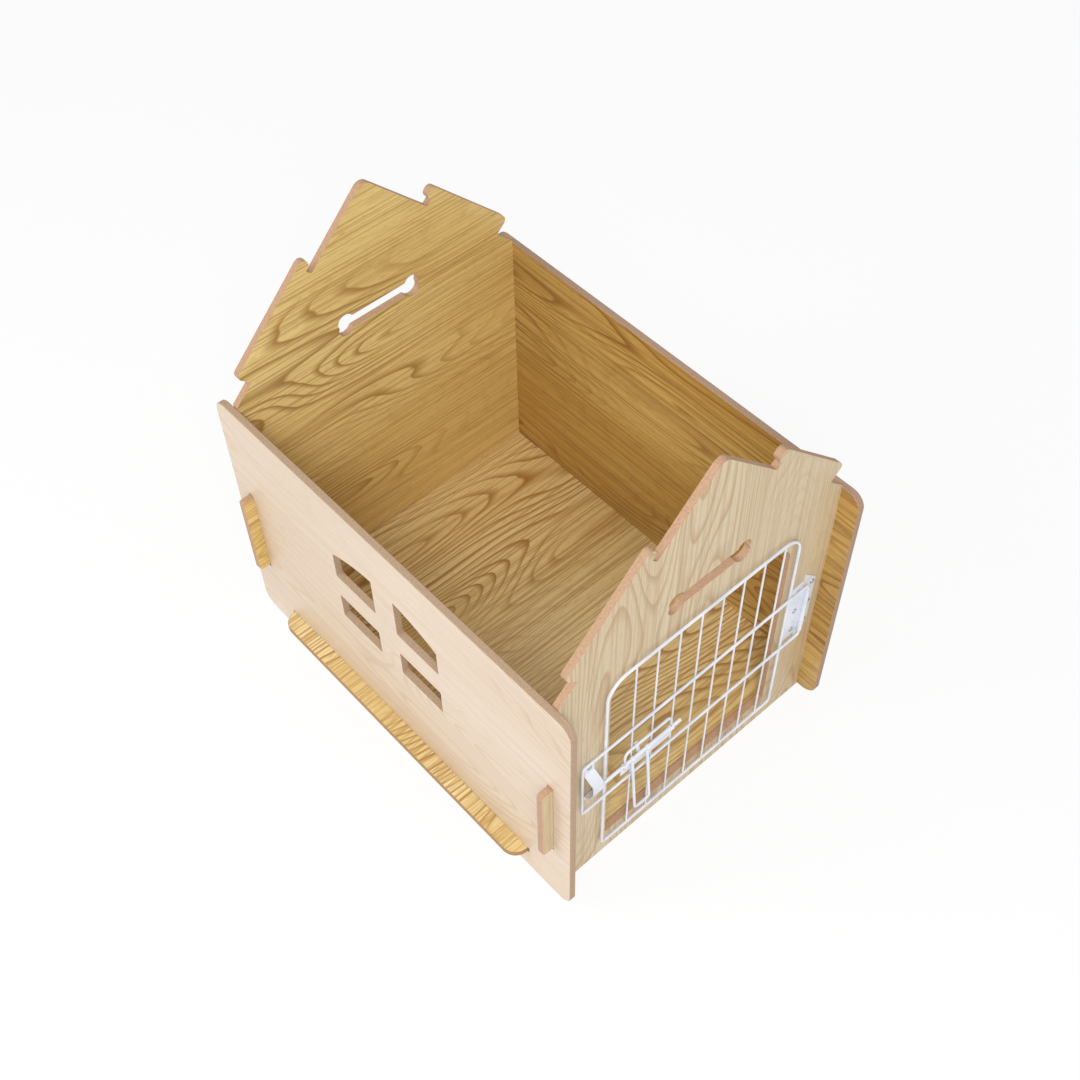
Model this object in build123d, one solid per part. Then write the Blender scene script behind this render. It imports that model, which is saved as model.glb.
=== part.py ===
from build123d import *
import math
import os

# Small indoor dog house of slotted boards with a white wire door, millimetres.
# Origin: on the ground, midway between the side panels and midway between the gables.
# X runs across the house, Y from the door towards the back, Z up.

# Boards
board = 9.0
cabin_length = 550.0
cabin_width = 432.0
panel_height = 410.0
panel_corner = 20.0
panel_overhang = 28.5
edge_break = 0.8

# Floor board, held by one long tab through each side panel
floor_underside = 36.0
floor_tab_setback = 38.0
floor_tab_reach = 22.0
floor_tab_corner = 20.0
floor_slot_end_gap = 3.0
floor_play = 0.5

# Gable tabs through the side panels
tab_low = 116.0
tab_height = 138.0
tab_reach = 16.0
tab_corner = 4.0
tab_gap_below = 6.0
tab_gap_above = 3.0
slot_play = 0.3

# Gable outline
roof_pitch = 45.0
eaves_rise = 3.5
ridge_radius = 12.0
gable_foot_radius = 2.0

# Raised roof seats on the slopes, with a hook at the upper end
seat_start = 121.0
seat_length = 149.0
seat_rise = 25.0
seat_corner = 8.0
hook_reach = 11.0
hook_play = 0.5
hook_radius = 7.0
inner_radius = 1.0

# Bone-shaped hand hold in both gables
bone_height = 439.5
bone_span = 102.0
bone_bar = 20.0
bone_end_radius = 11.0
bone_end_offset = 5.5
bone_blend = 3.0

# Doorway in the front gable
doorway_width = 282.0
doorway_sill = 43.0
doorway_top = 372.0
doorway_corner = 28.0
sill_corner = 3.0

# Window of four panes in the left side panel
window_centre = 5.0
window_sill = 182.0
pane_width = 75.5
pane_height = 42.5
mullion = 40.0
transom = 39.5
arch_radius = 221.0
arch_top = 328.5
pane_corner = 1.5

# Wire door
frame_wire = 4.0
bar_wire = 2.5
cross_wire = 3.5
door_standoff = 2.0
door_lap_side = 9.0
door_lap_below = 10.5
door_lap_above = 14.5
door_corner = 29.0
door_foot_corner = 7.0
bar_count = 8
bar_pitch = 33.0
bar_shift = 6.5
weld_bite = 0.3
bend_steps = 3

# Long wire loop across the door, whose right end is the hinge pin
loop_low = 161.0
loop_spacing = 103.0
loop_overhang = 38.0
loop_bend = 4.0
pin_offset = 30.0
pin_play = 0.08

# Folded hinge strap on the front gable
hinge_sheet = 1.2
hinge_fold_gap = 0.4
hinge_left_width = 24.0
hinge_right_width = 21.0
hinge_left_height = 105.0
hinge_right_height = 132.0
hinge_right_slant = 22.0
hinge_eye_height = 82.0
hinge_screw_spacing = 39.5
hinge_screw_inset = 9.0

# Screws
screw_radius = 1.75
screw_pilot_bite = 0.3
screw_length = 8.0
screw_head_radius = 3.5
screw_head_height = 1.6
screw_hole_play = 0.2
screw_slot_width = 0.9
screw_slot_depth = 0.7

# Slide latch on the door
bolt_height = 200.0
bolt_wire = 4.5
bolt_play = 0.08
bolt_tail_x = -33.0
bolt_tip_gap = 0.5
guide_sheet = 1.5
guide_left = -127.0
guide_right = -47.0
guide_drop = 24.0
guide_width = 18.5
guide_eye_width = 5.5
tongue_width = 5.0
tongue_foot_x = -93.5
tongue_head_x = -102.5
tongue_rise = 22.0
tongue_foot_drop = 16.0
bail_wire = 3.5
bail_rise = 25.5
bail_corner = 8.0
handle_wire = 3.8
handle_left_x = -111.5
handle_spacing = 24.0
handle_drop = 105.0
handle_corner = 6.0
handle_lean = 5.0
handle_eye_wall = 1.1
handle_eye_width = 4.6

# Keeper strap for the bolt, on the front gable
keeper_sheet = 1.2
keeper_width = 15.5
keeper_inset = 13.5
keeper_play = 3.2
keeper_flange_top = 52.0
keeper_hump_top = 30.0
keeper_face_top = 22.0
keeper_face_low = 6.0
keeper_hump_low = 17.0
keeper_knee_drop = 10.0
keeper_knee_in = 6.0
keeper_flange_low = 25.0
keeper_bend = 2.5
keeper_screw_drop = 11.0

# Worked out from the sizes above
house_length = cabin_length + 2 * (board + panel_overhang)
floor_tab_length = cabin_length - 2 * floor_tab_setback
half_width = cabin_width / 2
outer_half_width = half_width + board
gable_front = -cabin_length / 2 - board
pitch = math.radians(roof_pitch)
eaves = panel_height + eaves_rise
ridge = eaves + half_width * math.tan(pitch)
frame_half = doorway_width / 2 + door_lap_side
door_low = doorway_sill - door_lap_below
door_high = doorway_top + door_lap_above
frame_depth = door_standoff + frame_wire / 2
bar_depth = door_standoff + frame_wire - bar_wire / 2
bar_face = door_standoff + frame_wire
loop_depth = bar_face + cross_wire / 2 - weld_bite
loop_high = loop_low + loop_spacing
loop_middle = loop_low + loop_spacing / 2
pin_x = frame_half + pin_offset
loop_left = -frame_half - loop_overhang
guide_eye_inner = bolt_wire / 2 + bolt_play
guide_eye_outer = guide_eye_inner + guide_sheet
bolt_depth = bar_face + guide_eye_outer
guide_low = bolt_height - guide_drop
guide_top = guide_low + guide_width
bail_height = bolt_height + bail_rise
keeper_right = -frame_half - keeper_inset
keeper_left = keeper_right - keeper_width
keeper_depth = bolt_depth + bolt_wire / 2 + keeper_play + keeper_sheet


# Shared shapes

def upright(outline, front, thickness):
    # An outline in (x, z), its front face at y = front, made solid towards the back.
    plane = Plane((0, front, 0), x_dir=(1, 0, 0), z_dir=(0, -1, 0))
    return extrude(plane * outline, amount=-thickness)


def sideways(outline, left, thickness):
    # An outline in (y, z), its left face at x = left, made solid towards the right.
    plane = Plane((left, 0, 0), x_dir=(0, 1, 0), z_dir=(1, 0, 0))
    return extrude(plane * outline, amount=thickness)


def level(outline, low, thickness):
    # An outline in (x, y) made solid upwards from z = low.
    return extrude(Pos(0, 0, low) * outline, amount=thickness)


def box_outline(low_u, high_u, low_v, high_v):
    centre = Pos((low_u + high_u) / 2, (low_v + high_v) / 2)
    return centre * Rectangle(high_u - low_u, high_v - low_v)


def rounded_outline(corners):
    # A closed outline from (u, v, corner radius) in order round the edge.
    points = [(u, v) for u, v, radius in corners]
    radii = [radius for u, v, radius in corners]
    return make_face(FilletPolyline(*points, radius=radii, close=True))


def bent_wire(points, bend, diameter):
    # Round wire along the points, each bend made of a few short straight lengths.
    smooth = FilletPolyline(*points, radius=bend)
    travelled = 0
    places = []
    for edge in smooth.edges():
        steps = bend_steps if edge.geom_type == GeomType.CIRCLE else 1
        places += [travelled + edge.length * step / steps for step in range(steps)]
        travelled += edge.length
    places = places[1:] + places[:2] if smooth.is_closed else places + [travelled]
    path = Polyline(*[smooth @ (place / travelled) for place in places])
    section = Plane(origin=path @ 0, z_dir=path % 0) * Circle(diameter / 2)
    return sweep(section, path=path, transition=Transition.RIGHT)


def on_door(x, depth, z):
    # A point this far in front of the front gable's face.
    return (x, gable_front - depth, z)


def broken_edges(solid, axis):
    # Softens the long edges of both board faces that are square to the axis.
    faces = solid.faces().filter_by(axis).sort_by(axis)
    edges = faces[0].edges() + faces[-1].edges()
    return chamfer(edges, edge_break)


# Boards

def panel_outline():
    half = house_length / 2
    corners = [(-half, 0), (half, 0), (half, panel_height), (-half, panel_height)]
    return rounded_outline([(y, z, panel_corner) for y, z in corners])


def panel_slots():
    slot_y = cabin_length / 2 + board / 2
    slot_half = board / 2 + slot_play
    low = tab_low - tab_gap_below
    high = tab_low + tab_height + tab_gap_above
    back = box_outline(slot_y - slot_half, slot_y + slot_half, low, high)
    front = box_outline(-slot_y - slot_half, -slot_y + slot_half, low, high)
    reach = floor_tab_length / 2 + floor_slot_end_gap
    top = floor_underside + board + floor_play
    return back + front + box_outline(-reach, reach, floor_underside, top)


def window_pane(side, low, high):
    near = mullion / 2
    far = mullion / 2 + pane_width
    left = window_centre + min(side * near, side * far)
    pane = box_outline(left, left + pane_width, low, high)
    arch = Pos(window_centre, arch_top - arch_radius) * Circle(arch_radius)
    cut = pane & arch
    return fillet(cut.vertices(), pane_corner)


def window_panes():
    upper = window_sill + pane_height + transom
    panes = [window_pane(side, window_sill, window_sill + pane_height) for side in (-1, 1)]
    panes += [window_pane(side, upper, arch_top) for side in (-1, 1)]
    return panes


def side_panel(left):
    panel = broken_edges(sideways(panel_outline(), left, board), Axis.X)
    return panel - sideways(panel_slots(), left, board)


def left_side_panel():
    panel = side_panel(-outer_half_width)
    for pane in window_panes():
        panel = panel - sideways(pane, -outer_half_width, board)
    return panel


def right_side_panel():
    return side_panel(half_width)


def floor_board():
    reach = outer_half_width + floor_tab_reach
    tab = floor_tab_length / 2
    corners = [(-reach, -tab), (reach, -tab), (reach, tab), (-reach, tab)]
    tabs = rounded_outline([(x, y, floor_tab_corner) for x, y in corners])
    deck_half = cabin_length / 2
    deck = box_outline(-half_width, half_width, -deck_half, deck_half)
    return broken_edges(level(deck + tabs, floor_underside, board), Axis.Z)


def on_slope(along, out):
    # A point on the right-hand slope: distance down from the ridge point, and outwards.
    x = along * math.cos(pitch) + out * math.sin(pitch)
    z = ridge - along * math.sin(pitch) + out * math.cos(pitch)
    return x, z


def gable_right_edge():
    # The right half of the outline from the foot up to the ridge, with corner radii.
    reach = outer_half_width + tab_reach
    tab_top = tab_low + tab_height
    seat_end = seat_start + seat_length
    throat = board + hook_play
    nose = seat_start - hook_reach
    edge = [
        (half_width, 0, gable_foot_radius),
        (half_width, tab_low, 0),
        (reach, tab_low, tab_corner),
        (reach, tab_top, tab_corner),
        (half_width, tab_top, 0),
        (half_width, eaves, gable_foot_radius),
        (*on_slope(seat_end, 0), inner_radius),
        (*on_slope(seat_end, seat_rise), seat_corner),
        (*on_slope(nose, seat_rise), hook_radius),
        (*on_slope(nose, throat), hook_radius),
        (*on_slope(seat_start, throat), inner_radius),
        (*on_slope(seat_start, 0), inner_radius),
    ]
    return edge


def gable_outline():
    right = gable_right_edge()
    left = [(-x, z, radius) for x, z, radius in reversed(right)]
    outline = rounded_outline(right + [(0, ridge, ridge_radius)] + left)
    return outline - bone_outline()


def bone_outline():
    bar = Pos(0, bone_height) * Rectangle(bone_span, bone_bar)
    for side in (-1, 1):
        for up in (-1, 1):
            place = Pos(side * bone_span / 2, bone_height + up * bone_end_offset)
            bar = bar + place * Circle(bone_end_radius)
    inner = [corner for corner in bar.vertices() if abs(corner.X) < bone_span / 2 - 0.1]
    return fillet(inner, bone_blend)


def screw_pilots(places):
    holes = [Pos(x, z) * Circle(screw_radius - screw_pilot_bite) for x, z in places]
    outline = holes[0]
    for hole in holes[1:]:
        outline = outline + hole
    depth = screw_length - hinge_sheet
    return upright(outline, gable_front, depth)


def front_gable():
    low = doorway_sill
    half = doorway_width / 2
    doorway = rounded_outline([
        (-half, low, sill_corner),
        (half, low, sill_corner),
        (half, doorway_top, doorway_corner),
        (-half, doorway_top, doorway_corner),
    ])
    solid = upright(gable_outline() - doorway, gable_front, board)
    return solid - screw_pilots(hinge_screw_places() + keeper_screw_places())


def back_gable():
    return upright(gable_outline(), cabin_length / 2, board)


# Wire door

def door_frame_wire():
    start = on_door(0, frame_depth, door_low)
    low_left = on_door(-frame_half, frame_depth, door_low)
    low_right = on_door(frame_half, frame_depth, door_low)
    high_right = on_door(frame_half, frame_depth, door_high)
    high_left = on_door(-frame_half, frame_depth, door_high)
    route = [start, low_right, high_right, high_left, low_left, start]
    radii = [0, door_foot_corner, door_corner, door_corner, door_foot_corner]
    return bent_wire(route, radii, frame_wire)


def door_bar(index):
    # Butt-welded between the frame's lower and upper wires, flush with their front.
    x = bar_shift + (index - (bar_count - 1) / 2) * bar_pitch
    bite = frame_wire / 2 - 2 * weld_bite
    low = door_low + bite
    height = door_high - door_low - 2 * bite
    y = gable_front - bar_depth
    base = Plane((x, y, low))
    return extrude(base * Circle(bar_wire / 2), amount=height)


def door_cross_loop():
    start = on_door(0, loop_depth, loop_low)
    route = [
        start,
        on_door(pin_x, loop_depth, loop_low),
        on_door(pin_x, loop_depth, loop_high),
        on_door(loop_left, loop_depth, loop_high),
        on_door(loop_left, loop_depth, loop_low),
        start,
    ]
    return bent_wire(route, [0] + [loop_bend] * 4, cross_wire)


# Hinge strap

def hinge_screw_places():
    left = pin_x - hinge_screw_inset
    right = pin_x + hinge_right_width - hinge_screw_inset / 1.5
    heights = [loop_middle + step * hinge_screw_spacing for step in (-1, 0, 1)]
    return [(left, z) for z in heights] + [(right, z) for z in heights]


def hinge_flanges():
    gap = hinge_fold_gap / 2
    low = loop_middle - hinge_left_height / 2
    high = loop_middle + hinge_left_height / 2
    left = box_outline(pin_x - hinge_left_width, pin_x - gap, low, high)
    foot = loop_middle - hinge_right_height / 2
    head = loop_middle + hinge_right_height / 2
    outer = pin_x + hinge_right_width
    right = make_face(Polyline(
        (pin_x + gap, foot),
        (outer, foot + hinge_right_slant),
        (outer, head - hinge_right_slant),
        (pin_x + gap, head),
        close=True,
    ))
    plates = upright(left, gable_front - hinge_sheet, hinge_sheet)
    return plates + upright(right, gable_front - hinge_sheet, hinge_sheet)


def hinge_eye():
    inner = cross_wire / 2 + pin_play
    outer = inner + hinge_sheet
    neck_half = hinge_sheet + hinge_fold_gap / 2
    centre = Pos(pin_x, gable_front - loop_depth)
    neck = box_outline(
        pin_x - neck_half, pin_x + neck_half, gable_front - loop_depth, gable_front
    )
    gap = box_outline(
        pin_x - hinge_fold_gap / 2, pin_x + hinge_fold_gap / 2,
        gable_front - loop_depth, gable_front,
    )
    profile = centre * Circle(outer) + neck - gap - centre * Circle(inner)
    return level(profile, loop_middle - hinge_eye_height / 2, hinge_eye_height)


def screw_holes(places, thickness):
    outline = Pos(*places[0]) * Circle(screw_radius + screw_hole_play)
    for place in places[1:]:
        outline = outline + Pos(*place) * Circle(screw_radius + screw_hole_play)
    return upright(outline, gable_front - thickness, thickness)


def hinge_bracket():
    bracket = hinge_flanges() + hinge_eye()
    return bracket - screw_holes(hinge_screw_places(), hinge_sheet)


def screw(x, z, sheet):
    # A low round head on the sheet and a shank into the board, with one slot.
    head_front = gable_front - sheet - screw_head_height
    face = Pos(x, z)
    head = upright(face * Circle(screw_head_radius), head_front, screw_head_height)
    shank = upright(face * Circle(screw_radius), gable_front - sheet, screw_length)
    slot_length = 2 * screw_head_radius
    slot = upright(
        face * Rot(0, 0, 45) * Rectangle(slot_length, screw_slot_width),
        head_front, screw_slot_depth,
    )
    return head + shank - slot


def hinge_screws():
    return Compound(children=[screw(x, z, hinge_sheet) for x, z in hinge_screw_places()])


# Slide latch

def latch_guide_plate():
    # A sheet strip across the bars with a rolled eye at each end.
    # A leaning tongue is welded behind it, between two bars.
    web = box_outline(guide_left, guide_right, guide_low, guide_top)
    for left in (guide_left, guide_right - guide_eye_width):
        web = web + box_outline(left, left + guide_eye_width, guide_top, bolt_height)
    tongue_foot = guide_top - tongue_foot_drop
    tongue_top = bolt_height + tongue_rise
    tongue = make_face(Polyline(
        (tongue_foot_x - tongue_width / 2, tongue_foot),
        (tongue_foot_x + tongue_width / 2, tongue_foot),
        (tongue_head_x + tongue_width / 2, tongue_top),
        (tongue_head_x - tongue_width / 2, tongue_top),
        close=True,
    ))
    plate = upright(web, gable_front - bar_face - guide_sheet, guide_sheet)
    plate = plate + upright(tongue, gable_front - bar_face, guide_sheet)
    ring = Circle(guide_eye_outer) - Circle(guide_eye_inner)
    ring = Pos(gable_front - bolt_depth, bolt_height) * ring
    for left in (guide_left, guide_right - guide_eye_width):
        plate = plate + sideways(ring, left, guide_eye_width)
        plate = plate - sideways(
            Pos(gable_front - bolt_depth, bolt_height) * Circle(guide_eye_inner),
            left, guide_eye_width,
        )
    return plate


def latch_bail():
    left = guide_left + guide_eye_width / 2
    right = guide_right - guide_eye_width / 2
    foot = bolt_height + guide_eye_outer - weld_bite
    points = [
        on_door(left, bolt_depth, foot),
        on_door(left, bolt_depth, bail_height),
        on_door(right, bolt_depth, bail_height),
        on_door(right, bolt_depth, foot),
    ]
    return bent_wire(points, bail_corner, bail_wire)


def latch_bolt():
    tip_x = keeper_right + bolt_tip_gap
    base = Plane(on_door(tip_x, bolt_depth, bolt_height), x_dir=(0, 1, 0), z_dir=(1, 0, 0))
    rod = extrude(base * Circle(bolt_wire / 2), amount=bolt_tail_x - tip_x)
    ends = rod.faces().filter_by(Axis.X).edges()
    return chamfer(ends, bolt_wire / 5)


def latch_handle():
    # A bent wire with an eye round the bolt on each leg, leaning out over the low wire.
    right_x = handle_left_x + handle_spacing
    inner = bolt_wire / 2 + bolt_play
    outer = inner + handle_eye_wall
    start = (inner + outer) / 2
    slope = math.tan(math.radians(handle_lean))
    points = [
        on_door(handle_left_x, bolt_depth + start * slope, bolt_height - start),
        on_door(handle_left_x, bolt_depth + handle_drop * slope, bolt_height - handle_drop),
        on_door(right_x, bolt_depth + handle_drop * slope, bolt_height - handle_drop),
        on_door(right_x, bolt_depth + start * slope, bolt_height - start),
    ]
    handle = bent_wire(points, handle_corner, handle_wire)
    centre = Pos(gable_front - bolt_depth, bolt_height)
    for x in (handle_left_x, right_x):
        left = x - handle_eye_width / 2
        handle = handle + sideways(centre * Circle(outer), left, handle_eye_width)
        handle = handle - sideways(centre * Circle(inner), left, handle_eye_width)
    return handle


# Keeper

def keeper_screw_places():
    x = (keeper_left + keeper_right) / 2
    return [(x, bolt_height + keeper_flange_top - keeper_screw_drop)]


def latch_keeper():
    # A strap bent into a hump over the bolt, flat on the gable above and below it.
    middle = keeper_sheet / 2
    points = [
        (gable_front - middle, bolt_height + keeper_flange_top),
        (gable_front - middle, bolt_height + keeper_hump_top),
        (gable_front - keeper_depth + middle, bolt_height + keeper_face_top),
        (gable_front - keeper_depth + middle, bolt_height + keeper_face_low),
        (gable_front - keeper_depth + keeper_knee_in, bolt_height - keeper_knee_drop),
        (gable_front - middle, bolt_height - keeper_hump_low),
        (gable_front - middle, bolt_height - keeper_flange_low),
    ]
    path = FilletPolyline(*points, radius=keeper_bend)
    strap = sideways(trace(path, keeper_sheet), keeper_left, keeper_width)
    return strap - screw_holes(keeper_screw_places(), keeper_sheet * 2)


def keeper_screw():
    x, z = keeper_screw_places()[0]
    return screw(x, z, keeper_sheet)


# Export

pieces = {
    "floor_board": floor_board(),
    "left_side_panel": left_side_panel(),
    "right_side_panel": right_side_panel(),
    "front_gable": front_gable(),
    "back_gable": back_gable(),
    "door_frame_wire": door_frame_wire(),
    "door_cross_loop": door_cross_loop(),
    "hinge_bracket": hinge_bracket(),
    "hinge_screws": hinge_screws(),
    "latch_guide_plate": latch_guide_plate(),
    "latch_bail": latch_bail(),
    "latch_bolt": latch_bolt(),
    "latch_handle": latch_handle(),
    "latch_keeper": latch_keeper(),
    "keeper_screw": keeper_screw(),
}
for index in range(bar_count):
    pieces[f"door_bar_{index + 1}"] = door_bar(index)

os.makedirs("parts", exist_ok=True)
for name, shape in pieces.items():
    export_step(shape, f"parts/{name}.step")
    print(name, round(shape.volume, 1))
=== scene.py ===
import math
import bpy
import numpy as np
from mathutils import Matrix, Vector


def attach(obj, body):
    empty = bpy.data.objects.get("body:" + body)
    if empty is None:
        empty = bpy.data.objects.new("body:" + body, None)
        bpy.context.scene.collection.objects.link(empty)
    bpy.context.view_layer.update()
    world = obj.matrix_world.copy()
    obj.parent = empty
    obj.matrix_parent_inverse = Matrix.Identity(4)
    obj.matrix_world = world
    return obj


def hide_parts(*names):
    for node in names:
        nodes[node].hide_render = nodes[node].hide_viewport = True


# Indoor dog house of slotted wood-grain boards with a white wire door.
# Metres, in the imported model's own frame: X across, Y towards the back, Z up.

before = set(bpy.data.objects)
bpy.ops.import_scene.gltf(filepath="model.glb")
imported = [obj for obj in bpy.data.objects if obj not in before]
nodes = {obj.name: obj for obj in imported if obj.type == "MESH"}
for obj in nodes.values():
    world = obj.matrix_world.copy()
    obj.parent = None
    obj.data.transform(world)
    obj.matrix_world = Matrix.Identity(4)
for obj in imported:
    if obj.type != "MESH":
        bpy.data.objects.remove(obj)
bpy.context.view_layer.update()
print("frame loaded:", len(nodes), "nodes")


# Camera at the photograph's place and angle

camera = {
    "eye": (-0.737143, -0.856332, 1.696517),
    "forward": (0.402226, 0.459620, -0.791810),
    "rollDegrees": -1.170,
    "lens": 49.438,  # millimetres, as is the sensor
    "sensor": 36.0,
    "nearest": 0.05,
    "farthest": 50.0,
}


def addCamera():
    forward = Vector(camera["forward"]).normalized()
    levelRight = forward.cross(Vector((0, 0, 1))).normalized()
    levelUp = levelRight.cross(forward)
    roll = math.radians(camera["rollDegrees"])
    right = levelRight * math.cos(roll) + levelUp * math.sin(roll)
    up = right.cross(forward)
    data = bpy.data.cameras.new("houseCamera")
    data.lens = camera["lens"]
    data.sensor_width = camera["sensor"]
    data.sensor_fit = "AUTO"
    data.clip_start = camera["nearest"]
    data.clip_end = camera["farthest"]
    view = bpy.data.objects.new("houseCamera", data)
    turn = Matrix((right, up, -forward)).transposed().to_4x4()
    view.matrix_world = Matrix.Translation(camera["eye"]) @ turn
    bpy.context.scene.collection.objects.link(view)
    bpy.context.scene.camera = view


addCamera()
bpy.context.scene.view_settings.view_transform = "Standard"
print("camera placed")


# Colours, nodes and materials

def linear(hexColour):
    # sRGB hex to linear RGBA
    values = [int(hexColour[i:i + 2], 16) / 255 for i in (1, 3, 5)]
    return [v / 12.92 if v <= 0.04045 else ((v + 0.055) / 1.055) ** 2.4 for v in values] + [1.0]


def addNode(tree, kind, inputs=None, **settings):
    # one shader node; an input takes a fixed value, a socket or another node's first output
    made = tree.nodes.new("ShaderNode" + kind)
    for name, value in settings.items():
        setattr(made, name, value)
    for key, value in (inputs or {}).items():
        if isinstance(value, bpy.types.Node):
            value = value.outputs[0]
        if isinstance(value, bpy.types.NodeSocket):
            tree.links.new(value, made.inputs[key])
        else:
            made.inputs[key].default_value = value
    return made


def newMaterial(name):
    material = bpy.data.materials.new(name)
    material.use_nodes = True
    material.node_tree.nodes.clear()
    return material, material.node_tree


def dress(name, material):
    # a CAD node keeps its mesh and takes a better material
    target = nodes[name]
    target.data.materials.clear()
    target.data.materials.append(material)
    for slot in target.material_slots:
        slot.material = material


# Melamine-faced fibreboard: honey-coloured ash grain printed on a satin sheet, with bare
# pinkish-brown fibre at the cut edges. The eye sees long pinstripes, some nested arches,
# short dark pores and a soft sheen.

# Each board's tones are its own lit or shaded copy of the one print, painted lighter, darker or
# pinker to match how light falls on that board: painted light. The left panel's pale pinkish
# tones and weak figure are a painted highlight of the strong lamp from the left. The right panel
# is painted darker as painted shade. The floor and back gable are painted brighter against the
# shade inside the house. The front gable is painted darker against its direct light.
boardPrintAndPaintedLight = {  # "along" is the grain's direction, "face" the one square to the board
    "left_side_panel": {
        "along": "Y", "face": "X", "pale": "#dbc9b5", "base": "#d5c0a8", "dark": "#bfa17d",
        "pore": "#ba9670", "edge": "#b99c80", "seed": 1.3, "figure": 0.45, "rough": 0.34,
    },
    "right_side_panel": {
        "along": "Y", "face": "X", "pale": "#cfac64", "base": "#c29a4f", "dark": "#91622c",
        "pore": "#825a28", "edge": "#b0917a", "seed": 4.1, "figure": 0.85, "rough": 0.36,
    },
    "front_gable": {
        "along": "Z", "face": "Y", "pale": "#d2bf9e", "base": "#c8b38e", "dark": "#ad8958",
        "pore": "#9c7c51", "edge": "#c29c7c", "seed": 7.7, "figure": 0.6, "rough": 0.36,
    },
    "back_gable": {
        "along": "X", "face": "Y", "pale": "#ecd18d", "base": "#dcbc75", "dark": "#a67a3c",
        "pore": "#97683a", "edge": "#c29c7c", "seed": 11.9, "figure": 0.8, "rough": 0.36,
    },
    "floor_board": {
        "along": "X", "face": "Z", "pale": "#e7d29c", "base": "#d9be81", "dark": "#a27235",
        "pore": "#976838", "edge": "#b08a5e", "seed": 15.2, "figure": 0.85, "rough": 0.33,
    },
}
# Each layer of the print is noise drawn out along the grain, with its size in millimetres
# along and across. Ash pores are about 0.2 mm wide; here they are coarser so that they show.
grain = {
    "rings": {"long": 680, "wide": 130, "shift": 1, "detail": 1.0, "rough": 0.5},
    "wobble": {"long": 260, "wide": 30, "shift": 2, "detail": 2.0, "rough": 0.5},
    "zone": {"long": 520, "wide": 190, "shift": 4, "detail": 1.0, "rough": 0.5},
    "streak": {"long": 420, "wide": 3.0, "shift": 1, "detail": 3.0, "rough": 0.65},
    "pore": {"long": 16, "wide": 1.1, "shift": 1, "detail": 1.0, "rough": 0.5},
    "cloud": {"long": 650, "wide": 170, "shift": 3, "detail": 1.0, "rough": 0.5},
}
# A span is where a layer sets in and where it is full; a share is how strongly it then shows
figure = {
    "ringPitch": 15, "straightShare": 0.35, "ringCount": 34, "wobbleShare": 0.7,
    "lateSpan": (0.55, 0.9), "fadeSpan": (1.0, 0.93), "ringShare": 0.95,
    "zoneSpan": (0.44, 0.56), "zoneLeast": 0.18, "cloudSpan": (0.38, 0.62),
    "streakSpan": (0.49, 0.57), "streakShare": 0.62, "poreSpan": (0.6, 0.74), "poreShare": 0.6,
}
cutEdge = {
    "fibreMm": 2.5, "fibreSpan": (0.35, 0.7), "darker": 0.72, "rough": 0.8,
    "faceSpan": (0.75, 0.85), "bumpStrength": 0.12, "bumpHeight": 0.0004,
}


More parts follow.
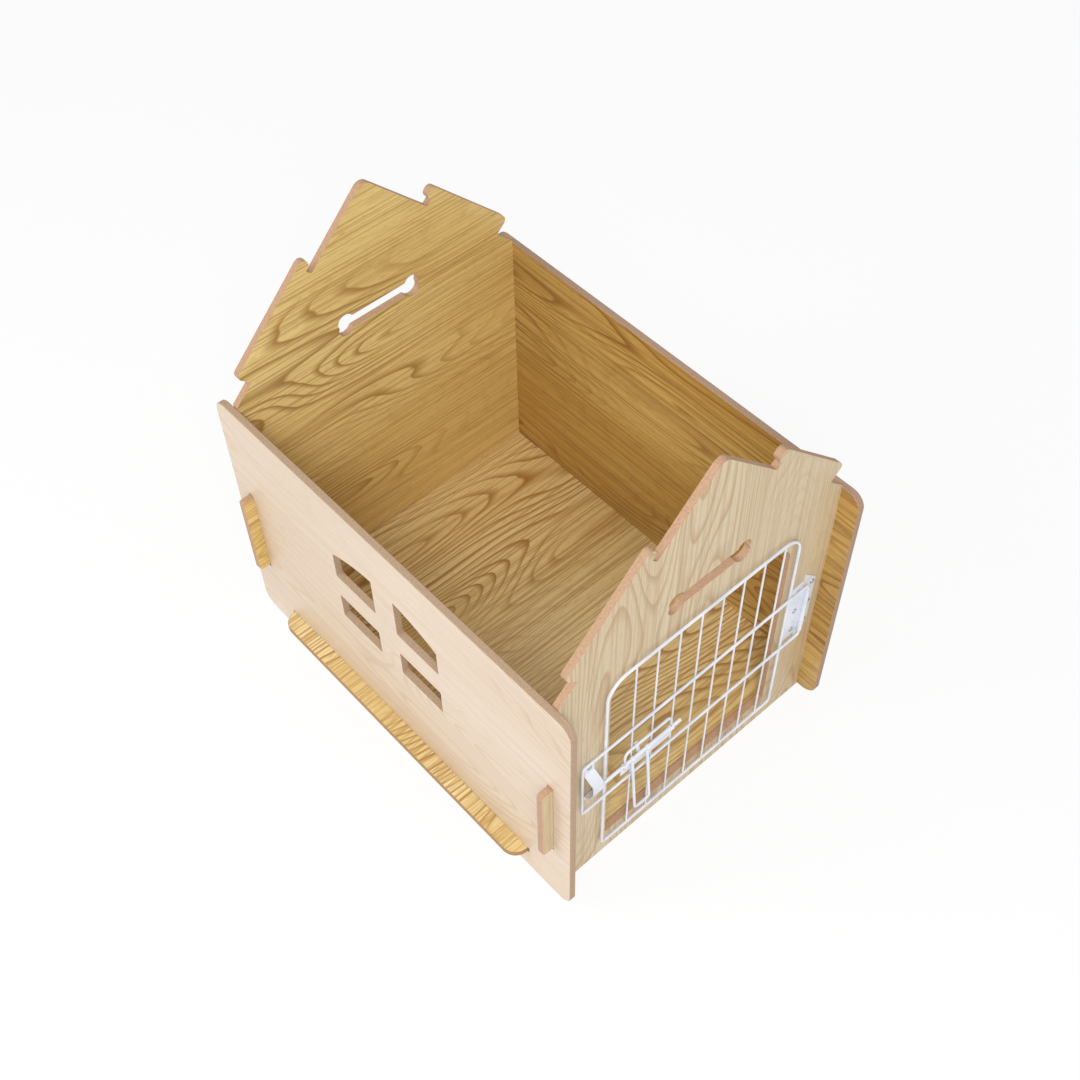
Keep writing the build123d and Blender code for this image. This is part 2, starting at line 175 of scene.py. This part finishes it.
def boardMaterial(name, board):
    material, tree = newMaterial("melamineBoard_" + name)
    coordinates = addNode(tree, "TexCoord").outputs
    axes = addNode(tree, "SeparateXYZ", {0: coordinates["Object"]}).outputs
    across = ({"X", "Y", "Z"} - {board["along"], board["face"]}).pop()

    # layers of the print, in a space where X runs along the grain and Y across it
    lengthways = addNode(tree, "CombineXYZ", {0: axes[board["along"]], 1: axes[across]})
    layers = {}
    for layer, size in grain.items():
        shift = board["seed"] * size["shift"]
        spread = addNode(tree, "Mapping", {
            "Vector": lengthways,
            "Location": (shift, shift * 1.7, shift * 0.6),
            "Scale": (1000 / size["long"], 1000 / size["wide"], 1.0),
        })
        layers[layer] = addNode(tree, "TexNoise", {
            "Vector": spread, "Scale": 1.0, "Detail": size["detail"], "Roughness": size["rough"],
        })

    # ring count = distance across / pitch + broad noise + a small wobble; each ring darkens
    # towards its end and fades out sharply, most strongly where the zone noise is high
    perMetre = 1000 / figure["ringPitch"] * figure["straightShare"]
    count = addNode(tree, "Math", {0: axes[across], 1: perMetre}, operation="MULTIPLY")
    for layer, weight in (("rings", figure["ringCount"]), ("wobble", figure["wobbleShare"])):
        count = addNode(
            tree, "Math", {0: layers[layer], 1: weight, 2: count}, operation="MULTIPLY_ADD",
        )
    ringPart = addNode(tree, "Math", {0: count}, operation="FRACT")
    strength = board["figure"] * figure["ringShare"]
    least = figure["zoneLeast"]
    rings = addNode(tree, "MapRange", {
        0: layers["zone"], 1: figure["zoneSpan"][0], 2: figure["zoneSpan"][1],
        3: least * strength, 4: (1 + least) * strength,
    })
    for low, high in (figure["lateSpan"], figure["fadeSpan"]):
        part = addNode(tree, "MapRange", {0: ringPart, 1: low, 2: high})
        rings = addNode(tree, "Math", {0: rings, 1: part}, operation="MULTIPLY")

    # tones, straight streaks and short pores: noise past its span, times its share
    shares = {}
    for layer, share in (
        ("cloud", 1.0),
        ("streak", board["figure"] * figure["streakShare"]),
        ("pore", board["figure"] * figure["poreShare"]),
    ):
        low, high = figure[layer + "Span"]
        shares[layer] = addNode(tree, "MapRange", {0: layers[layer], 1: low, 2: high, 4: share})
    # the board's tones: the print's grain, with each board's copy painted lighter or darker as
    # painted light
    sheet = linear(board["pale"])
    for share, key in (
        (shares["cloud"], "base"), (rings, "dark"), (shares["streak"], "dark"),
        (shares["pore"], "pore"),
    ):
        sheet = addNode(
            tree, "Mix", {0: share, 6: sheet, 7: linear(board[key])}, data_type="RGBA",
        ).outputs[2]

    # bare fibre where the surface looks sideways out of the board
    fibre = addNode(tree, "TexNoise", {
        "Vector": coordinates["Object"], "Scale": 1000 / cutEdge["fibreMm"],
        "Detail": 4.0, "Roughness": 0.7,
    })
    low, high = cutEdge["fibreSpan"]
    clump = addNode(tree, "MapRange", {0: fibre, 1: low, 2: high})
    edge = linear(board["edge"])
    edgeDark = [value * cutEdge["darker"] for value in edge[:3]] + [1.0]
    cut = addNode(tree, "Mix", {0: clump, 6: edge, 7: edgeDark}, data_type="RGBA").outputs[2]
    normal = addNode(tree, "SeparateXYZ", {0: coordinates["Normal"]}).outputs
    square = addNode(tree, "Math", {0: normal[board["face"]]}, operation="ABSOLUTE")
    low, high = cutEdge["faceSpan"]
    onFace = addNode(tree, "MapRange", {0: square, 1: low, 2: high})
    colour = addNode(tree, "Mix", {0: onFace, 6: cut, 7: sheet}, data_type="RGBA").outputs[2]
    roughness = addNode(tree, "MapRange", {0: onFace, 3: cutEdge["rough"], 4: board["rough"]})
    height = addNode(tree, "Math", {0: layers["streak"], 1: fibre}, operation="ADD")
    bump = addNode(tree, "Bump", {
        "Height": height, "Strength": cutEdge["bumpStrength"], "Distance": cutEdge["bumpHeight"],
    })
    shader = addNode(tree, "BsdfPrincipled", {
        "Base Color": colour, "Roughness": roughness, "Normal": bump, "IOR": 1.5,
    })
    addNode(tree, "OutputMaterial", {"Surface": shader})
    return material


for name, board in boardPrintAndPaintedLight.items():
    dress(name, boardMaterial(name, board))
print("boards dressed")


# Powder-coated steel: thick white gloss with the faint orange peel of sprayed coat

coat = {
    "white": "#e4e7ee", "shade": "#d3d8e2", "filmMm": 35, "filmSpan": (0.35, 0.7),
    "rough": (0.23, 0.34), "roughSpan": (0.3, 0.7), "peelMm": 1.4, "peelStrength": 0.1,
    "peelHeight": 0.0002, "clear": 0.25, "clearRough": 0.15,
}


def coatMaterial():
    material, tree = newMaterial("powderCoatedSteel")
    place = addNode(tree, "TexCoord").outputs["Object"]
    peel = addNode(
        tree, "TexNoise", {"Vector": place, "Scale": 1000 / coat["peelMm"], "Detail": 2.0},
    )
    film = addNode(
        tree, "TexNoise", {"Vector": place, "Scale": 1000 / coat["filmMm"], "Detail": 1.0},
    )
    low, high = coat["filmSpan"]
    share = addNode(tree, "MapRange", {0: film, 1: low, 2: high})
    colour = addNode(
        tree, "Mix", {0: share, 6: linear(coat["white"]), 7: linear(coat["shade"])},
        data_type="RGBA",
    ).outputs[2]
    low, high = coat["roughSpan"]
    smooth, dull = coat["rough"]
    rough = addNode(tree, "MapRange", {0: film, 1: low, 2: high, 3: smooth, 4: dull})
    bump = addNode(tree, "Bump", {
        "Height": peel, "Strength": coat["peelStrength"], "Distance": coat["peelHeight"],
    })
    shader = addNode(tree, "BsdfPrincipled", {
        "Base Color": colour, "Roughness": rough, "Normal": bump, "IOR": 1.5,
        "Coat Weight": coat["clear"], "Coat Roughness": coat["clearRough"],
    })
    addNode(tree, "OutputMaterial", {"Surface": shader})
    return material


# Zinc-plated steel: pale grey metal with turning marks, drawn coarser than the real
# tenth of a millimetre so that they show

zinc = {
    "bright": "#c9ccd2", "dull": "#8e9299", "markMm": 0.5, "markSpan": (0.35, 0.7),
    "markStrength": 0.2, "markHeight": 0.0001, "rough": 0.34,
}


def zincMaterial():
    material, tree = newMaterial("zincPlatedSteel")
    place = addNode(tree, "TexCoord").outputs["Object"]
    mark = addNode(
        tree, "TexNoise", {"Vector": place, "Scale": 1000 / zinc["markMm"], "Detail": 3.0},
    )
    low, high = zinc["markSpan"]
    share = addNode(tree, "MapRange", {0: mark, 1: low, 2: high})
    colour = addNode(
        tree, "Mix", {0: share, 6: linear(zinc["bright"]), 7: linear(zinc["dull"])},
        data_type="RGBA",
    ).outputs[2]
    bump = addNode(tree, "Bump", {
        "Height": mark, "Strength": zinc["markStrength"], "Distance": zinc["markHeight"],
    })
    shader = addNode(tree, "BsdfPrincipled", {
        "Base Color": colour, "Normal": bump, "Metallic": 1.0, "Roughness": zinc["rough"],
    })
    addNode(tree, "OutputMaterial", {"Surface": shader})
    return material


coated = coatMaterial()
plated = zincMaterial()
for name in nodes:
    if name in ("hinge_screws", "keeper_screw"):
        dress(name, plated)
    elif name not in boardPrintAndPaintedLight:
        dress(name, coated)
print("fittings dressed")


# Bent wires, drawn with true round bends in place of the solids' short straight lengths

facets = {"bend": 13, "wire": 20, "eye": 32, "eyeCorner": 4, "screw": 40}


def addPiece(name, points, faces, material, body, replaced):
    # a new smooth-shaded piece from arrays of points and faces
    mesh = bpy.data.meshes.new(name)
    mesh.from_pydata(points.tolist(), [], faces.tolist())
    mesh.validate()
    mesh.polygons.foreach_set("use_smooth", np.ones(len(mesh.polygons), bool))
    mesh.materials.append(material)
    piece = bpy.data.objects.new(name, mesh)
    bpy.context.scene.collection.objects.link(piece)
    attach(piece, body)
    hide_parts(replaced)


def gridFaces(rows, around, closed):
    # faces between the points of neighbouring rings; closed joins the last ring to the first
    step = np.arange(rows if closed else rows - 1)[:, None] * around
    ahead = (step + around) % (rows * around)
    spot = np.arange(around)[None, :]
    beside = (spot + 1) % around
    faces = np.stack([step + spot, step + beside, ahead + beside, ahead + spot], -1)
    return faces.reshape(-1, 4)


def endFan(hub, ring, around):
    # thin four-cornered faces from a hub point to each pair of a ring's edges
    pair = np.arange(0, around, 2)
    hubs = np.full(len(pair), hub)
    return np.stack([hubs, ring + (pair + 2) % around, ring + pair + 1, ring + pair], -1)


def outward(points, faces):
    # volume = the sum over the faces of first . (second x third + third x fourth), and
    # where that is negative the faces look inwards and are turned round
    first, second, third, fourth = (points[faces[:, i]] for i in range(4))
    volume = np.einsum("ij,ij->i", first, np.cross(second, third)).sum()
    volume += np.einsum("ij,ij->i", first, np.cross(third, fourth)).sum()
    return faces[:, ::-1] if volume < 0 else faces


def bentLine(corners, bends, closed):
    # points and directions of a flat line whose right-angled corners are arcs:
    # point = start + bend * (sin(turn) * in direction + (1 - cos(turn)) * out direction)
    corners = np.asarray(corners, float)
    total = len(corners)
    turn = np.linspace(0, math.pi / 2, facets["bend"])[:, None]
    points, ways = [], []
    for i in range(total):
        if not closed and i in (0, total - 1):
            other = corners[1] - corners[0] if i == 0 else corners[-1] - corners[-2]
            points.append(corners[i:i + 1])
            ways.append((other / np.linalg.norm(other))[None, :])
            continue
        into = corners[i] - corners[i - 1]
        out = corners[(i + 1) % total] - corners[i]
        into, out = into / np.linalg.norm(into), out / np.linalg.norm(out)
        start = corners[i] - into * bends[i]
        points.append(start + bends[i] * (np.sin(turn) * into + (1 - np.cos(turn)) * out))
        ways.append(np.cos(turn) * into + np.sin(turn) * out)
    return np.concatenate(points), np.concatenate(ways)


def wireMesh(corners, bends, radius, origin, rise=(0, 0, 1), closed=True):
    # middle = origin + u * X + v * rise for each point (u, v) of the bent line, with a
    # ring of the radius round it, square to the line
    line, ways = bentLine(corners, bends, closed)
    across, rise = np.array([1.0, 0.0, 0.0]), np.asarray(rise, float)
    proud = np.cross(across, rise)
    middle = np.asarray(origin, float) + line[:, :1] * across + line[:, 1:] * rise
    sideways = -ways[:, 1:] * across + ways[:, :1] * rise
    around = facets["wire"]
    angle = np.linspace(0, 2 * math.pi, around, endpoint=False)
    ring = sideways[:, None, :] * np.cos(angle)[None, :, None]
    ring = ring + proud[None, None, :] * np.sin(angle)[None, :, None]
    points = (middle[:, None, :] + radius * ring).reshape(-1, 3)
    faces = gridFaces(len(line), around, closed)
    if not closed:
        last = (len(line) - 1) * around
        fans = [endFan(len(points), 0, around), endFan(len(points) + 1, last, around)[:, ::-1]]
        faces = np.concatenate([faces, *fans])
        points = np.concatenate([points, [middle[0], middle[-1]]])
    return points, outward(points, faces)


doorWires = {  # the same lines as the solids
    "frameHalf": 0.150, "frameLow": 0.0325, "frameHigh": 0.3865, "frameY": -0.288,
    "frameBends": (0.007, 0.007, 0.029, 0.029), "frameRadius": 0.002,
    "loopLeft": -0.188, "pin": 0.180, "loopLow": 0.161, "loopHigh": 0.264,
    "loopY": -0.29145, "loopBend": 0.004, "loopRadius": 0.00175,
}


def doorFrame():
    size = doorWires
    half, low, high = size["frameHalf"], size["frameLow"], size["frameHigh"]
    points, faces = wireMesh(
        [(-half, low), (half, low), (half, high), (-half, high)],
        size["frameBends"], size["frameRadius"], (0, size["frameY"], 0),
    )
    addPiece("doorFrame", points, faces, coated, "door", "door_frame_wire")


def crossLoop():
    size = doorWires
    left, right, low, high = (size[key] for key in ("loopLeft", "pin", "loopLow", "loopHigh"))
    points, faces = wireMesh(
        [(left, low), (right, low), (right, high), (left, high)],
        [size["loopBend"]] * 4, size["loopRadius"], (0, size["loopY"], 0),
    )
    addPiece("crossLoop", points, faces, coated, "door", "door_cross_loop")


latch = {
    "boltY": -0.29383, "boltZ": 0.200,
    "bailLeft": -0.12425, "bailRight": -0.04975, "bailHigh": 0.2255, "bailFoot": 0.20353,
    "bailBend": 0.008, "bailRadius": 0.00175,
    "handleLeft": -0.1115, "handleRight": -0.0875, "handleStart": 0.00288,
    "handleDrop": 0.105, "handleLean": 5.0, "handleBend": 0.006, "handleRadius": 0.0019,
    "eyeInner": 0.00233, "eyeWall": 0.0011, "eyeWidth": 0.0046, "eyeSoft": 0.3,
}


def bail():
    size = latch
    left, right = size["bailLeft"], size["bailRight"]
    foot, high = size["bailFoot"], size["bailHigh"]
    points, faces = wireMesh(
        [(left, foot), (left, high), (right, high), (right, foot)],
        [0, size["bailBend"], size["bailBend"], 0], size["bailRadius"], (0, size["boltY"], 0),
        closed=False,
    )
    addPiece("latchBail", points, faces, coated, "door", "latch_bail")


def eyeRing(x):
    # a short sleeve round the bolt: its wall's section, with rounded corners, carried round X
    size = latch
    inner, outer = size["eyeInner"], size["eyeInner"] + size["eyeWall"]
    half, soft = size["eyeWidth"] / 2, size["eyeWall"] * size["eyeSoft"]
    corner = np.linspace(0, math.pi / 2, facets["eyeCorner"])
    centres = [
        (half - soft, outer - soft), (-half + soft, outer - soft),
        (-half + soft, inner + soft), (half - soft, inner + soft),
    ]
    section = np.concatenate([
        np.stack([
            along + soft * np.cos(corner + quarter * math.pi / 2),
            out + soft * np.sin(corner + quarter * math.pi / 2),
        ], -1)
        for quarter, (along, out) in enumerate(centres)
    ])
    rows = facets["eye"]
    angle = np.linspace(0, 2 * math.pi, rows, endpoint=False)
    points = np.stack([
        np.broadcast_to(x + section[None, :, 0], (rows, len(section))),
        size["boltY"] + section[None, :, 1] * np.cos(angle)[:, None],
        size["boltZ"] + section[None, :, 1] * np.sin(angle)[:, None],
    ], -1).reshape(-1, 3)
    return points, outward(points, gridFaces(rows, len(section), True))


def handle():
    size = latch
    lean = math.radians(size["handleLean"])
    hang = (0, -math.sin(lean), -math.cos(lean))
    drop, start = size["handleDrop"] / math.cos(lean), size["handleStart"]
    left, right = size["handleLeft"], size["handleRight"]
    points, faces = wireMesh(
        [(left, start), (left, drop), (right, drop), (right, start)],
        [0, size["handleBend"], size["handleBend"], 0], size["handleRadius"],
        (0, size["boltY"], size["boltZ"]), hang, closed=False,
    )
    for x in (left, right):
        ring, ringFaces = eyeRing(x)
        faces = np.concatenate([faces, ringFaces + len(points)])
        points = np.concatenate([points, ring])
    addPiece("latchHandle", points, faces, coated, "handle", "latch_handle")


doorFrame()
crossLoop()
bail()
handle()
print("wires bent")


# Pan-head screws with a cross recess

screws = {
    "headRadius": 0.0035, "headHeight": 0.0016, "shankRadius": 0.00175, "length": 0.008,
    "crownDrop": 0.5, "crownRings": 22, "crownFrom": 0.02, "crownTo": 0.94,
    "rimShares": (0.985, 1.0, 1.0), "rimHeights": (0.42, 0.26, 0.0),
    "taperFrom": 0.9, "tipRadius": 0.00002,
    "recessHalf": 0.00042, "recessReach": 0.0019, "recessDeep": 0.0009,
    "recessSlope": 0.00018, "recessEndSlope": 0.0004, "firstTurn": 0.5, "turnStep": 0.7,
    "sheetY": -0.2852,
    "hinge": [(x, z) for x in (0.171, 0.195) for z in (0.173, 0.2125, 0.252)],
    "keeper": [(-0.17125, 0.241)],
}


def screwMesh(x, z, turned):
    # height above the sheet = head height * (1 - crown drop * u^2), u the share of the head's
    # radius, less the recess where either arm of the cross passes; then rim, shank and tip
    size = screws
    crown = np.linspace(size["crownFrom"], size["crownTo"], size["crownRings"])
    share = np.concatenate([crown, size["rimShares"]])
    radius = share * size["headRadius"]
    height = size["headHeight"] * np.concatenate([
        1 - size["crownDrop"] * crown ** 2, size["rimHeights"],
    ])
    shank = size["shankRadius"]
    radius = np.concatenate([radius, [shank, shank, size["tipRadius"]]])
    depths = [0.0, -size["length"] * size["taperFrom"], -size["length"]]
    height = np.concatenate([height, depths])
    around = facets["screw"]
    angle = np.linspace(0, 2 * math.pi, around, endpoint=False)
    u = radius[:, None] * np.cos(angle + turned)[None, :]
    v = radius[:, None] * np.sin(angle + turned)[None, :]
    arm = np.minimum(np.abs(u), np.abs(v))
    reach = np.maximum(np.abs(u), np.abs(v))
    inside = np.clip((size["recessHalf"] - arm) / size["recessSlope"], 0, 1)
    inside = inside * np.clip((size["recessReach"] - reach) / size["recessEndSlope"], 0, 1)
    inside[len(share):] = 0
    proud = height[:, None] - inside * size["recessDeep"]
    points = np.stack([
        x + radius[:, None] * np.cos(angle)[None, :],
        size["sheetY"] - proud,
        z + radius[:, None] * np.sin(angle)[None, :],
    ], -1).reshape(-1, 3)
    hubs = [[x, size["sheetY"] - middle, z] for middle in (proud[0].min(), height[-1])]
    last = (len(radius) - 1) * around
    faces = np.concatenate([
        gridFaces(len(radius), around, False),
        endFan(len(points), 0, around),
        endFan(len(points) + 1, last, around)[:, ::-1],
    ])
    points = np.concatenate([points, hubs])
    return points, outward(points, faces)


def screwPiece(name, places, replaced):
    allPoints, allFaces, count = [], [], 0
    for index, (x, z) in enumerate(places):
        turned = screws["firstTurn"] + index * screws["turnStep"]
        points, faces = screwMesh(x, z, turned)
        allPoints.append(points)
        allFaces.append(faces + count)
        count += len(points)
    points, faces = np.concatenate(allPoints), np.concatenate(allFaces)
    addPiece(name, points, faces, plated, "house", replaced)


screwPiece("hingeScrews", screws["hinge"], "hinge_screws")
screwPiece("keeperScrew", screws["keeper"], "keeper_screw")
print("screws set")


# Floor, background and lamps

studio = {
    "floorColour": "#f4f4f4", "floorReach": 8.0, "floorDrop": 0.0005, "floorWhite": 0.86,
    "worldStrength": 0.54, "target": (0, 0, 0.2),
    "keyLamp": {"place": (-1.5, -1.8, 2.8), "size": 1.3, "power": 72.0},
    "fillLamp": {"place": (-2.1, 1.3, 1.9), "size": 1.2, "power": 22.0},
}


def addFloor():
    # matt white paper that is nearly pure white to the camera and still takes shadows
    reach = studio["floorReach"]
    corners = np.array([(-1, -1, 0), (1, -1, 0), (1, 1, 0), (-1, 1, 0)], float) * reach
    corners[:, 2] = -studio["floorDrop"]
    mesh = bpy.data.meshes.new("studioFloor")
    mesh.from_pydata(corners.tolist(), [], [(0, 1, 2, 3)])
    floor = bpy.data.objects.new("studioFloor", mesh)
    bpy.context.scene.collection.objects.link(floor)
    material, tree = newMaterial("whitePaper")
    matt = addNode(
        tree, "BsdfPrincipled", {"Base Color": linear(studio["floorColour"]), "Roughness": 0.9},
    )
    bright = addNode(tree, "Emission", {"Color": (1, 1, 1, 1), "Strength": 1.0})
    rays = addNode(tree, "LightPath").outputs
    share = addNode(
        tree, "Math", {0: rays["Is Camera Ray"], 1: studio["floorWhite"]}, operation="MULTIPLY",
    )
    seen = addNode(tree, "MixShader", {0: share, 1: matt, 2: bright})
    addNode(tree, "OutputMaterial", {"Surface": seen})
    mesh.materials.append(material)


def addWorld():
    # white to the eye and in reflections, softer as a light
    world = bpy.data.worlds.new("studioWorld")
    bpy.context.scene.world = world
    world.use_nodes = True
    tree = world.node_tree
    tree.nodes.clear()
    rays = addNode(tree, "LightPath").outputs
    direct = rays["Is Camera Ray"]
    for other in ("Is Glossy Ray", "Is Transmission Ray"):
        direct = addNode(tree, "Math", {0: direct, 1: rays[other]}, operation="MAXIMUM")
    white = (1, 1, 1, 1)
    soft = addNode(tree, "Background", {"Color": white, "Strength": studio["worldStrength"]})
    plain = addNode(tree, "Background", {"Color": white, "Strength": 1.0})
    choose = addNode(tree, "MixShader", {0: direct, 1: soft, 2: plain})
    addNode(tree, "OutputWorld", {"Surface": choose})


def addLamp(name):
    settings = studio[name]
    place = Vector(settings["place"])
    data = bpy.data.lights.new(name, "AREA")
    data.size = settings["size"]
    data.energy = settings["power"]
    lamp = bpy.data.objects.new(name, data)
    turn = (Vector(studio["target"]) - place).to_track_quat("-Z", "Y").to_matrix().to_4x4()
    lamp.matrix_world = Matrix.Translation(place) @ turn
    bpy.context.scene.collection.objects.link(lamp)


addFloor()
addWorld()
addLamp("keyLamp")
addLamp("fillLamp")
print("studio lit")
